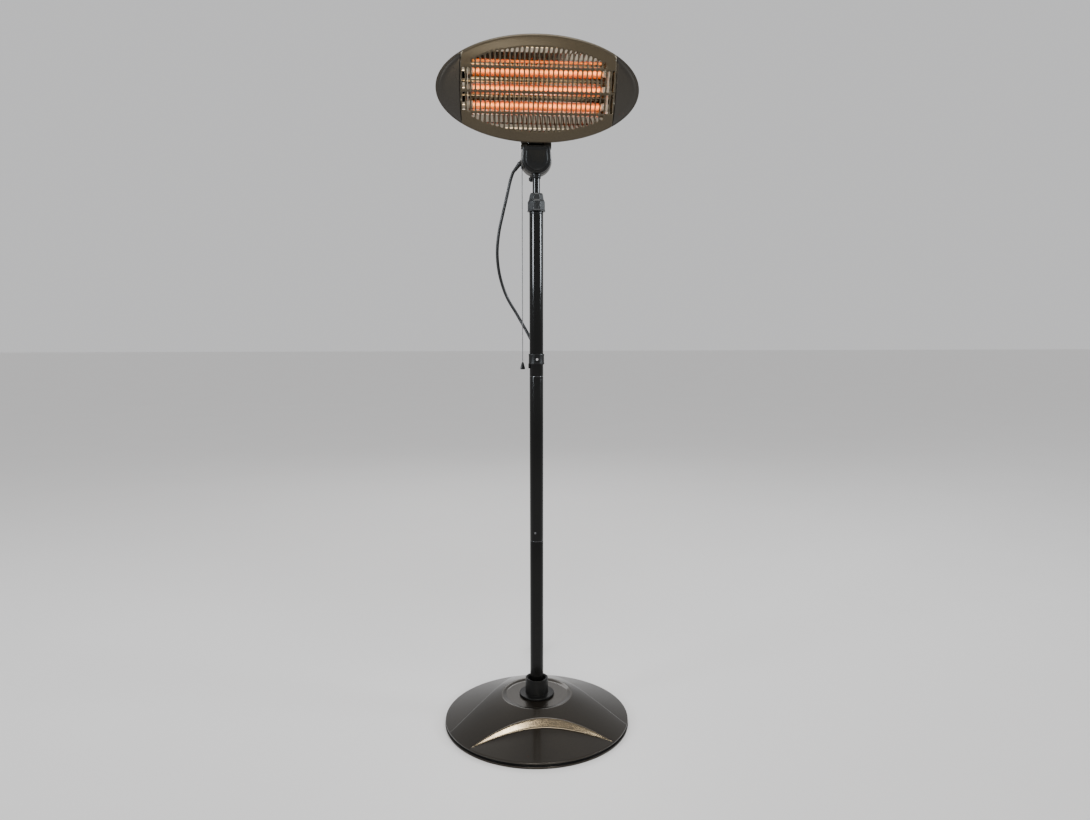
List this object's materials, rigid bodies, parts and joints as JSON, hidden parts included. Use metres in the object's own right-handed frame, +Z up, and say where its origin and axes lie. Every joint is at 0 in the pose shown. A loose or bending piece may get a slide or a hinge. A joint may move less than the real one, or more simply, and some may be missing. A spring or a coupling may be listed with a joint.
{
  "type": "outdoor heater",
  "caption": "Electric quartz terrace heater: elliptical tilting head with glowing tubes on a telescopic pole with a round weighted base and a pull-cord switch.",
  "frame": {"origin": "centre of the base on the floor", "axes": "+Z up the pole, -Y is the front that the head faces, +X to the right seen from the front"},
  "size_m": [0.5, 0.7556, 1.7713],
  "materials": {
    "bronze_paint": "gloss",
    "black_paint": "gloss",
    "black_plastic": "satin",
    "grey_plastic": "satin",
    "cement": "matte",
    "steel": "satin",
    "bright_screw": "polished",
    "mirror_sheet": "polished",
    "quartz": "polished",
    "hot_wire": "satin",
    "ceramic": "matte",
    "white_plastic": "matte",
    "lead_rubber": "satin",
    "cord_fabric": "matte"
  },
  "bodies": {
    "stand": {"base_tray": "bronze_paint", "base_edge_ring": "black_plastic", "base_weight": "cement", "base_cover": "bronze_paint", "base_spacer": "steel", "base_bolt": "steel", "base_washer": "steel", "base_collar": "black_plastic", "pole_insert": "steel", "lower_tube": "black_paint", "lower_joint_sleeve": "steel", "middle_tube": "black_paint", "upper_joint_sleeve": "steel", "upper_tube": "black_paint", "pole_screws": "steel", "cable_clip": "grey_plastic", "cable_clip_screw": "bright_screw", "lock_ferrule": "black_plastic", "lock_collet": "grey_plastic", "power_cord": "lead_rubber", "plug_body": "black_plastic", "plug_pins": "steel"},
    "lock_nut": {"height_lock_nut": "grey_plastic"},
    "riser": {"riser_tube": "black_paint", "riser_bush": "grey_plastic", "neck_socket": "black_plastic", "neck_rear_shell": "black_plastic", "neck_front_cover": "black_plastic", "neck_screws": "steel", "tilt_bolt": "steel", "tilt_nut": "steel", "cord_gland": "lead_rubber", "pull_switch": "white_plastic", "terminal_block": "white_plastic", "pull_eyelet": "steel"},
    "clamp_screw": {"neck_knob": "black_plastic"},
    "pull": {"pull_cord": "cord_fabric", "pull_knob": "black_plastic"},
    "head": {"head_bracket": "steel", "back_shell": "bronze_paint", "front_panel": "bronze_paint", "end_cap_left": "bronze_paint", "end_cap_right": "bronze_paint", "reflector": "mirror_sheet", "heat_shield": "steel", "tube_holder_left": "steel", "tube_holder_right": "steel", "quartz_tube_1": "quartz", "quartz_tube_2": "quartz", "quartz_tube_3": "quartz", "heating_coil_1": "hot_wire", "heating_coil_2": "hot_wire", "heating_coil_3": "hot_wire", "ceramic_ends": "ceramic", "head_screws": "steel"}
  },
  "joints": [
    {"name": "lock_nut_turn", "type": "hinge", "parent": "stand", "child": "lock_nut", "pos_m": [0, 0, 1.39], "axis": [0, 0, 1], "range_deg": [0, 180]},
    {"name": "height_slide", "type": "slide", "parent": "stand", "child": "riser", "axis": [0, 0, 1], "range_m": [0, 0.3]},
    {"name": "head_tilt", "type": "hinge", "parent": "riser", "child": "head", "pos_m": [0, 0.0086, 1.536], "axis": [1, 0, 0], "range_deg": [-22, 8]},
    {"name": "clamp_screw_turn", "type": "hinge", "parent": "riser", "child": "clamp_screw", "pos_m": [0, 0, 1.455], "axis": [-0.4226, 0.9063, 0], "range_deg": [0, 360]},
    {"name": "pull_cord_travel", "type": "slide", "parent": "riser", "child": "pull", "axis": [0, 0, -1], "range_m": [0, 0.012], "stiffness_N_per_m": 300, "springref_m": -0.002}
  ]
}
